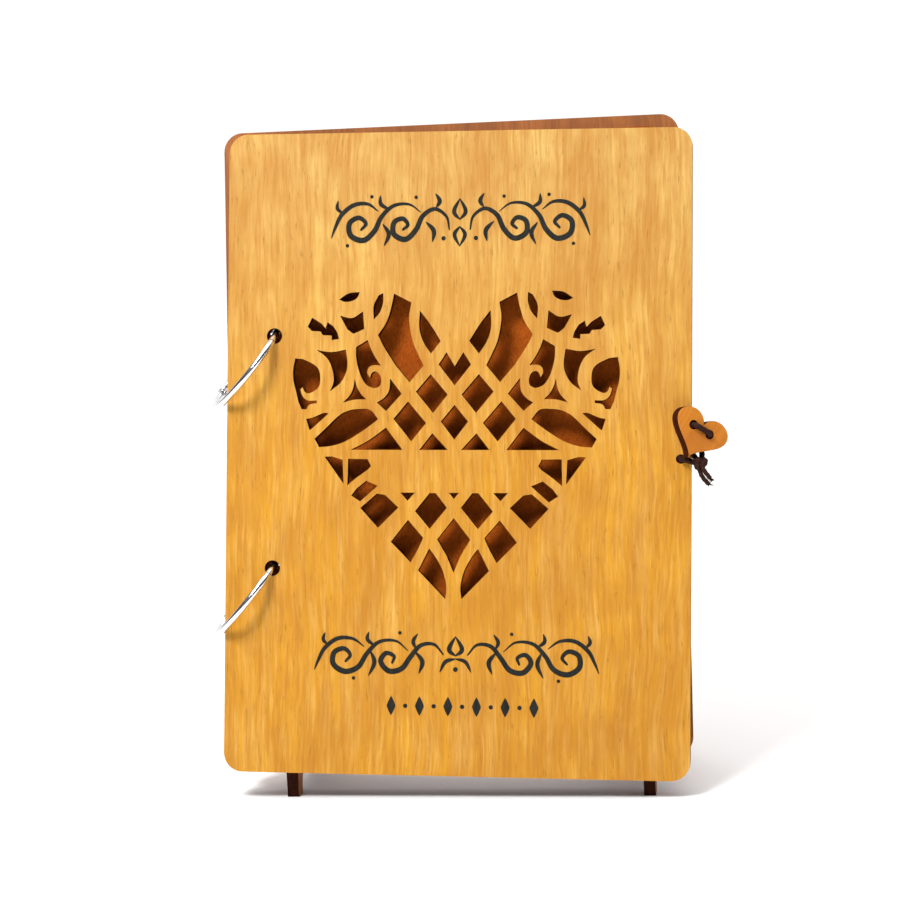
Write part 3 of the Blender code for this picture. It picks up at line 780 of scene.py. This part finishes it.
# Half of each scroll, from its middle: the points of every stroke, then its
# widths.  The dots are a place and a radius.
TOP_SCROLL = (
    (((3.6, -2.2), (4.6, 2.2), (8.6, 4.9), (12.8, 2.6), (15.2, -2.2),
      (18.8, -5.4), (22.8, -3.6), (22.8, 0.4), (19.8, 1.7), (18.0, -0.4),
      (19.6, -2.0)), (0.5, 1.9, 0.9)),
    (((13.6, 3.9), (17.6, 6.6), (23.0, 6.2), (27.2, 2.4), (29.6, -2.4),
      (33.4, -5.6), (37.8, -4.0), (38.4, 0.2), (35.2, 2.2), (32.6, 0.2),
      (34.2, -1.9)), (0.3, 2.0, 0.9)),
    (((28.4, 4.4), (32.0, 6.9), (36.8, 6.6), (41.0, 3.4), (43.2, -0.8),
      (44.6, -4.6)), (0.3, 1.7, 0.35)),
    (((8.2, 5.4), (7.0, 7.6), (8.4, 10.2)), (0.3, 1.7, 0.2)),
    (((11.6, 0.4), (9.0, -2.6), (9.4, -6.4)), (0.4, 1.8, 0.2)),
    (((24.6, 5.0), (27.4, 6.8), (27.6, 9.8)), (0.4, 1.6, 0.2)),
    (((26.6, -0.2), (24.6, -3.6), (26.2, -7.6)), (0.4, 1.7, 0.2)),
    (((40.6, 3.8), (42.6, 5.4), (42.4, 8.2)), (0.3, 1.4, 0.2)),
    (((0.0, 1.2), (2.0, 4.0), (0.0, 8.4)), (0.3, 1.6, 0.2)),
    (((0.0, -1.2), (1.8, -4.0), (0.0, -8.0)), (0.3, 1.5, 0.2)),
)
TOP_DOTS = ((5.6, -5.2, 0.75), (15.2, 9.0, 0.6), (39.0, -7.4, 0.6),
            (30.6, 9.4, 0.6))
BOTTOM_SCROLL = (
    (((4.2, 1.0), (7.4, 4.4), (12.0, 4.0), (15.4, 0.2), (18.6, -4.0),
      (23.0, -4.8), (25.8, -1.6), (24.0, 1.2), (21.2, 0.2), (21.8, -2.0)),
     (0.5, 1.9, 0.8)),
    (((16.4, 2.2), (20.6, 5.4), (26.4, 5.0), (30.6, 1.0), (33.6, -3.6),
      (38.2, -5.2), (42.2, -2.8), (42.0, 1.2), (38.6, 2.6), (36.4, 0.4),
      (38.0, -1.7)), (0.3, 2.0, 0.8)),
    (((31.6, 3.4), (35.6, 6.0), (40.8, 6.0), (45.2, 2.8), (47.4, -1.2),
      (48.8, -4.6)), (0.3, 1.6, 0.35)),
    (((13.6, 2.8), (14.6, 5.4), (13.0, 8.0)), (0.3, 1.5, 0.2)),
    (((13.8, 1.8), (11.4, -1.6), (12.6, -5.6)), (0.4, 1.8, 0.2)),
    (((28.0, 3.8), (30.4, 5.8), (30.0, 8.4)), (0.4, 1.5, 0.2)),
    (((29.4, 2.0), (28.0, -2.0), (30.0, -6.6)), (0.4, 1.7, 0.2)),
    (((44.2, 3.8), (45.8, 5.6), (45.2, 8.0)), (0.3, 1.4, 0.2)),
    (((0.0, 0.6), (2.2, 2.8), (0.0, 7.2)), (0.3, 1.8, 0.2)),
    (((0.0, -0.4), (3.4, -1.4), (5.4, -5.0)), (0.3, 1.5, 0.2)),
)
BOTTOM_DOTS = ((0.0, -4.0, 0.8), (19.2, 8.2, 0.6), (35.2, -7.4, 0.6))


def engraved_piece(bm, name):
    """Turn every face of the engraving to the front and place it."""
    bm.normal_update()
    backward = [f for f in bm.faces if f.normal.y > 0]
    bmesh.ops.reverse_faces(bm, faces=backward)
    obj = mesh_object(bm, ENGRAVED, smooth=False)
    add_piece(obj, name, "cover", COVER, "cover_wood")


def scroll(name, x, z, strokes, dots):
    """A flourish mirrored about x, centred at (x, z) on the cover."""
    bm = bmesh.new()
    layer = 0
    for sign in (1, -1):
        for points, widths in strokes:
            flipped = [(x + sign * u, z + v) for u, v in points]
            stroke(bm, flipped, widths, layer)
            layer += 1
        for u, v, radius in dots:
            blot(bm, x + sign * u, z + v, radius, radius, 2.0, layer)
            layer += 1
    engraved_piece(bm, name)


def lozenge_row(name, x, z, count=11, pitch=4.9):
    """Lozenges and dots by turns, centred at (x, z) on the cover."""
    bm = bmesh.new()
    for i in range(count):
        place = x + (i - count // 2) * pitch
        if i % 2:
            blot(bm, place, z, 0.75, 0.75, 2.0, i)
        else:
            blot(bm, place, z, 1.55, 3.3, 1.15, i)
    engraved_piece(bm, name)


def make_engraving():
    """Generic flourishes where the real cover has its lettering."""
    scroll("engraved_top_scroll", 0.9, 188.4, TOP_SCROLL, TOP_DOTS)
    scroll("engraved_bottom_scroll", 0.4, 40.2, BOTTOM_SCROLL, BOTTOM_DOTS)
    lozenge_row("engraved_lozenge_row", 2.8, 23.6)


# ------------------------------------------------------------- rings

class Ring:
    """One hinged ring: its circle, and its clasp and knuckle in degrees."""

    def __init__(self, index):
        back_hole = Vector((HOLE_X, 0.0, HOLE_Z[index]))
        sag = sin(radians(FRONT_ROLL)) * (HOLE_Z[index] - COVER_MIDDLE)
        front_hole = back_hole + Vector((FRONT_SHIFT + sag, -COVER_PITCH,
                                         -FRONT_DROP))
        self.centre = back_hole + Vector(RING_CENTRE[index])
        self.axis = Vector(RING_AXIS[index]).normalized()
        depth = Vector((0.0, 1.0, 0.0))
        self.side = (depth - self.axis * depth.dot(self.axis)).normalized()
        self.inward = self.side.cross(self.axis)
        if self.inward.x < 0:
            self.inward = -self.inward
        spoke = front_hole - self.centre
        hole = degrees(atan2(spoke.dot(self.side), spoke.dot(self.inward)))
        self.clasp = hole - CLASP_PAST_HOLE
        self.knuckle = self.clasp + 180.0

    def spot(self, angle, lift=0.0):
        """The wire's middle at an angle, lifted along the ring's axis."""
        a = radians(angle)
        return (self.centre
                + (self.inward * cos(a) + self.side * sin(a)) * RING_R
                + self.axis * lift)

    def half(self, start, stop, hand):
        """Half of the wire and its knuckle, on one side (hand 1 or -1)."""
        bm = bmesh.new()
        arc = [self.spot(start + (stop - start) * i / 90) for i in range(91)]
        sweep(bm, arc, round_section(WIRE_R, 24))
        pivot = self.spot(self.knuckle)
        low, high = (pivot + self.axis * (z * hand) for z in KNUCKLE_SPAN)
        rod_between(bm, low, high, KNUCKLE_R, 36)
        neck = [self.spot(self.knuckle - NECK_STEP * hand * k,
                          NECK_LIFT * hand * (4 - k) / 4) for k in range(5)]
        sweep(bm, neck, round_section(NECK_R, 16))
        return bm

    def add_collar(self, bm):
        """The sleeve beside the clasp, a little thicker than the wire."""
        path = [self.spot(self.clasp - COLLAR_START - COLLAR_STEP * k)
                for k in range(COLLAR_POINTS)]

        def swell(run, i):
            belly = sin(pi * (i + 0.5) / COLLAR_POINTS) ** 0.4
            return circle(0.0, 0.0, WIRE_R * (1.0 + COLLAR_SWELL * belly), 24)

        sweep(bm, path, swell)

    def rivet(self):
        """The hinge pin with a domed head at each end."""
        bm = bmesh.new()
        pivot = self.spot(self.knuckle)
        rod_between(bm, pivot - self.axis * RIVET_REACH,
                    pivot + self.axis * RIVET_REACH, RIVET_R, 24)
        for sign in (-1, 1):
            foot, top = (pivot + self.axis * (z * sign) for z in RIVET_HEAD)
            rod_between(bm, foot, top, RIVET_HEAD_R, 28, RIVET_DOME)
        return bm


def make_rings():
    """Both rings: a fixed half, a moving half and the pin between them."""
    for index, label in enumerate(("upper", "lower")):
        ring = Ring(index)
        fixed = ring.half(ring.clasp + CLASP_GAP, ring.knuckle - KNUCKLE_GAP,
                          1)
        tongue = (ring.spot(ring.clasp + CLASP_GAP),
                  ring.spot(ring.clasp - CLASP_GAP / 2))
        sweep(fixed, tongue, round_section(TONGUE_R, 16))
        add_piece(mesh_object(fixed, CHROME), f"ring_{label}_back_wire",
                  f"ring_{label}", BOOK, "ring_chrome",
                  f"ring_{label}_fixed_half")
        moving = ring.half(ring.knuckle + KNUCKLE_GAP,
                           ring.clasp + 360.0 - CLASP_GAP, -1)
        ring.add_collar(moving)
        add_piece(mesh_object(moving, CHROME), f"ring_{label}_front_wire",
                  f"ring_{label}_gate", BOOK, "ring_chrome",
                  f"ring_{label}_moving_half")
        add_piece(mesh_object(ring.rivet(), STEEL), f"ring_{label}_rivet",
                  f"ring_{label}", BOOK, "steel", f"ring_{label}_pin")


# ------------------------------------------------------------- leaves

def make_leaves():
    """The leaves keep their CAD sheets, now in kraft paper."""
    for index in range(LEAF_COUNT):
        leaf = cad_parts[f"leaf_{index + 1}"].data
        leaf.materials.clear()
        leaf.materials.append(KRAFT)


# ------------------------------------------------------------- button

def cord_piece(name, points, matrix, node, radius=CORD_R):
    """A run of cord through points in mm, riding with the toggle."""
    bm = bmesh.new()
    sweep(bm, smooth_path(points, 14), laid_section(radius))
    return add_piece(mesh_object(bm, CORD, sharp=80), name, "button", matrix,
                     "cord", node)


def trefoil(centre, width, depth, height, count, turned=False):
    """Closed path of an overhand knot; turned swaps its width and height."""
    path = []
    for i in range(count):
        t = 2 * pi * i / count
        across, upright = sin(t) + 2 * sin(2 * t), cos(t) - 2 * cos(2 * t)
        if turned:
            across, upright = upright, across
        path.append(centre + Vector((width * across, -depth * sin(3 * t),
                                     height * upright)))
    return path


def make_toggle():
    """The heart, and the loop of cord through its two holes."""
    hx, hz = BUTTON_HOLES
    holes = [circle(side * hx, hz, BUTTON_HOLE_R) for side in (-1, 1)]
    heart = plate([heart_outline(BUTTON_W, BUTTON_H)] + holes,
                  BUTTON_T + BUTTON_BACKING, HEART_WOOD, BUTTON_EDGE,
                  BUTTON_CHAMFER)
    back_shift = Matrix.Translation((0, BUTTON_BACKING / 2 * MM, 0))
    add_piece(heart, "heart_toggle", "button", BUTTON @ back_shift,
              "cover_wood", "heart_button")
    loop = ((5.6, 0.4, -6.3), (6.0, 1.9, -4.4), (5.4, 3.3, -1.9),
            (4.0, 3.5, 0.9), (hx - 0.1, 1.2, hz - 0.35),
            (hx, -1.2, hz - 0.3), (2.6, -2.75, hz), (0.0, -2.85, hz),
            (-2.6, -2.75, hz), (-hx, -1.2, hz), (-hx, 1.2, hz),
            (-3.2, 3.2, 1.3), (-1.5, 3.6, -1.0), (1.2, 3.5, -3.4),
            (3.2, 2.9, -5.0), (4.5, 1.3, -6.4))
    cord_piece("toggle_loop", loop, BUTTON, "button_loop_cord")


def make_knot():
    """The lead from the cover's hole, the knot and its two cut tails."""
    hole = Vector((CORD_HOLE[0], SWING_Y, CORD_HOLE[1]))
    knot = Vector(KNOT_AT)
    lead = [hole + Vector((0.35, 0.0, 0.0)), hole + Vector((1.0, -0.1, -0.15)),
            hole + Vector((2.6, -0.9, -0.5)), knot + Vector((-2.4, 0.0, 0.3))]
    cord_piece("toggle_lead", lead, COVER, "button_lead_cord")
    bm = bmesh.new()
    sweep(bm, trefoil(knot, 0.62, 0.80, 0.56, 120), laid_section(KNOT_R),
          closed=True)
    add_piece(mesh_object(bm, CORD, sharp=80), "toggle_knot", "button", COVER,
              "cord", "button_knot")
    rng = random.Random(7)
    tails = (((0.9, -0.8, -1.4), (1.7, -1.4, -2.7), (2.6, -1.7, -3.9),
              (3.6, -1.6, -5.1)),
             ((-0.1, -0.1, -1.8), (0.3, -0.4, -3.4), (1.3, -0.6, -5.1),
              (2.9, -0.4, -6.9)))
    for index, points in enumerate(tails):
        path = [knot + Vector(p) for p in points]
        tail = cord_piece(f"toggle_tail_{index + 1}", path, COVER,
                          f"button_cord_tail_{index + 1}", TAIL_R)
        frayed_end(tail, path[-1], (path[-1] - path[-2]).normalized(), rng)


def make_stopper():
    """The cord's end in the cover's hole and its knot behind the cover."""
    x, z = CORD_HOLE
    plug = [Vector((x, y, z)) for y in (-1.9, -1.0, 0.0, 1.0, 2.0)]
    plug += [Vector((x + 0.2, 2.6, z)), Vector((x + 0.3, 3.0, z))]
    bm = bmesh.new()
    sweep(bm, smooth_path(plug, 6), laid_section(CORD_R))
    knot = trefoil(Vector((x, STOPPER_Y, z)), 0.36, 0.432, 0.36, 90,
                   turned=True)
    sweep(bm, knot, laid_section(STOPPER_R), closed=True)
    add_piece(mesh_object(bm, CORD, sharp=80), "cover_cord_stopper", "cover",
              COVER, "cord", "cord_stop_knot")


def frayed_end(tail, tip, along, rng):
    """Loose fibres fanning out of a cut cord end, added to its mesh."""
    bm = bmesh.new()
    bm.from_mesh(tail.data)
    for _ in range(FRAYED_FIBRES):
        lean = Vector((rng.uniform(-1, 1), rng.uniform(-1, 1),
                       rng.uniform(-1, 1)))
        lean = (lean - along * lean.dot(along)) * rng.uniform(0.2, 0.55)
        start = tip + lean * 0.7 - along * 0.4
        length = rng.uniform(0.9, 1.9)
        mid = start + (along + lean * 0.5) * length * 0.5
        end = start + (along + lean) * length
        sweep(bm, smooth_path((start, mid, end), 3),
              round_section(rng.uniform(0.10, 0.17), 6))
    bm.to_mesh(tail.data)
    bm.free()
    tail.data.shade_smooth()


# ------------------------------------------------------------- stand

def leaned(y, z):
    """A book point as seen from the side, in the stand's own upright frame."""
    a = radians(LEAN)
    return (y * cos(a) + z * sin(a), ORIGIN[2] + z * cos(a) - y * sin(a))


def side_profile():
    """Outline of a side: foot, swept back, round crown, rest and lip."""
    rest = COVER_T / 2 + REST_GAP
    half_depth = BACKREST_DEPTH / 2
    foot = [(-10.5, 0.0), (-4.5, 0.0), (-3.4, 5.6), (-1.2, 7.4), (8.0, 7.4),
            (32.0, 4.0), (52.0, 4.0), (56.0, 0.0), (74.0, 0.0), (74.0, 4.0),
            (73.0, 5.6), (70.0, 7.0)]
    top = leaned(rest + BACKREST_DEPTH, BACKREST_Z)
    bend = (31.0, 17.0)
    tail = foot[-1]
    sweep_up = []
    for i in range(23, 0, -1):
        t = i / 24
        sweep_up.append(tuple(top[k] * (1 - t) ** 2
                              + bend[k] * 2 * t * (1 - t)
                              + tail[k] * t ** 2 for k in (0, 1)))
    crown = []
    for a in range(0, 181, 15):
        a = radians(a)
        crown.append(leaned(rest + half_depth + half_depth * cos(a),
                            BACKREST_Z + 3.0 * sin(a)))
    lip = []
    for a in range(0, 181, 15):
        a = radians(a)
        lip.append(leaned(-10.25 + 1.45 * cos(a), 3.2 + 0.8 * sin(a)))
    shelf = [leaned(rest, -0.4), leaned(-8.8, -0.4)]
    return foot + sweep_up + crown + shelf + lip


def make_stand():
    """Two sides joined by two bars, whose tabs sit in slots."""
    half = PLATE_T / 2
    slot = half + SLOT_GAP
    slots = []
    for _, y, low, high in BARS:
        low, high = low + SLOT_INSET, high - SLOT_INSET
        slots.append([(y - slot, low), (y + slot, low), (y + slot, high),
                      (y - slot, high)])
    quarter_turn = Matrix.Rotation(pi / 2, 4, "Z")
    for x, label in zip(PLATE_X, ("left", "right")):
        side = plate([side_profile()] + slots, PLATE_T, BROWN, STAND_EDGE_SHADED)
        place = STAND @ Matrix.Translation((x * MM, 0, 0)) @ quarter_turn
        add_piece(side, f"easel_side_{label}", "stand", place, "plain_wood",
                  f"stand_side_{label}")
    left, right = PLATE_X
    inner = (left + slot, right - slot)
    outer = (left - half, right + half)
    for label, y, low, high in BARS:
        tab = (low + TAB_INSET, high - TAB_INSET)
        outline = [(inner[0], low), (inner[1], low), (inner[1], tab[0]),
                   (outer[1], tab[0]), (outer[1], tab[1]), (inner[1], tab[1]),
                   (inner[1], high), (inner[0], high), (inner[0], tab[1]),
                   (outer[0], tab[1]), (outer[0], tab[0]), (inner[0], tab[0])]
        bar = plate([outline], PLATE_T, BROWN, STAND_EDGE_SHADED)
        add_piece(bar, f"easel_bar_{label}", "stand",
                  STAND @ Matrix.Translation((0, y * MM, 0)), "plain_wood",
                  f"stand_bar_{label}")


# ------------------------------------------------------------- studio

def area_light(name, location, target, size, power):
    """A white disk of light that faces its target."""
    light = bpy.data.lights.new(name, "AREA")
    light.shape = "DISK"
    light.size = size
    light.energy = power
    obj = bpy.data.objects.new(name, light)
    bpy.context.scene.collection.objects.link(obj)
    obj.location = location
    aim = Vector(target) - Vector(location)
    obj.rotation_euler = aim.to_track_quat("-Z", "Y").to_euler()


def studio_sky(behind, above, around):
    """White light from behind and above the book, less from elsewhere."""
    world = bpy.data.worlds.new("studio")
    world.use_nodes = True
    tree = world.node_tree
    coords = tree.nodes.new("ShaderNodeTexCoord")
    split = tree.nodes.new("ShaderNodeSeparateXYZ")
    tree.links.new(coords.outputs["Generated"], split.inputs["Vector"])
    brighter = tree.nodes.new("ShaderNodeMath")
    brighter.operation = "MAXIMUM"
    for index, (axis, strength, low, high) in enumerate((
            ("Y", behind, 0.35, 0.80), ("Z", above, 0.62, 0.95))):
        fade = tree.nodes.new("ShaderNodeMapRange")
        fade.interpolation_type = "SMOOTHSTEP"
        fade.inputs["From Min"].default_value = low
        fade.inputs["From Max"].default_value = high
        fade.inputs["To Min"].default_value = around
        fade.inputs["To Max"].default_value = strength
        tree.links.new(split.outputs[axis], fade.inputs["Value"])
        tree.links.new(fade.outputs["Result"], brighter.inputs[index])
    seen = tree.nodes.new("ShaderNodeMix")
    seen.inputs["B"].default_value = behind
    rays = tree.nodes.new("ShaderNodeLightPath")
    tree.links.new(rays.outputs["Is Camera Ray"], seen.inputs["Factor"])
    tree.links.new(brighter.outputs["Value"], seen.inputs["A"])
    background = tree.nodes["Background"]
    background.inputs["Color"].default_value = (1.0, 1.0, 1.0, 1.0)
    tree.links.new(seen.outputs["Result"], background.inputs["Strength"])
    return world


def make_studio():
    """A plain pale floor, one soft key light and the white sky."""
    bm = bmesh.new()
    bmesh.ops.create_grid(bm, x_segments=1, y_segments=1, size=FLOOR_HALF)
    floor = mesh_object(bm, smooth=False)
    floor.name = "studio_floor"
    bpy.context.scene.collection.objects.link(floor)
    n = Nodes("studio_floor")
    floor.data.materials.append(n.finish((0.93, 0.925, 0.92), 0.9, 0.1))
    bpy.context.scene.world = studio_sky(SKY_BEHIND, SKY_ABOVE, SKY_AROUND)
    area_light("key", KEY_AT, KEY_AIM, KEY_SIZE, KEY_WATTS)
    bpy.context.scene.view_settings.view_transform = "Standard"


def make_camera():
    """A long lens a little above and to the right of the book."""
    data = bpy.data.cameras.new("camera")
    data.sensor_width = 36.0
    data.lens = CAMERA_LENS
    data.clip_start = 0.01
    camera = bpy.data.objects.new("camera", data)
    bpy.context.scene.collection.objects.link(camera)
    camera.matrix_world = (
        Matrix.Translation(CAMERA_AT)
        @ Matrix.Rotation(radians(CAMERA_AZIMUTH), 4, "Z")
        @ Matrix.Rotation(radians(90.0 - CAMERA_ELEVATION), 4, "X")
        @ Matrix.Rotation(radians(CAMERA_ROLL), 4, "Z"))
    bpy.context.scene.camera = camera


make_camera()
make_studio()
make_covers()
make_engraving()
make_rings()
make_leaves()
make_toggle()
make_knot()
make_stopper()
make_stand()
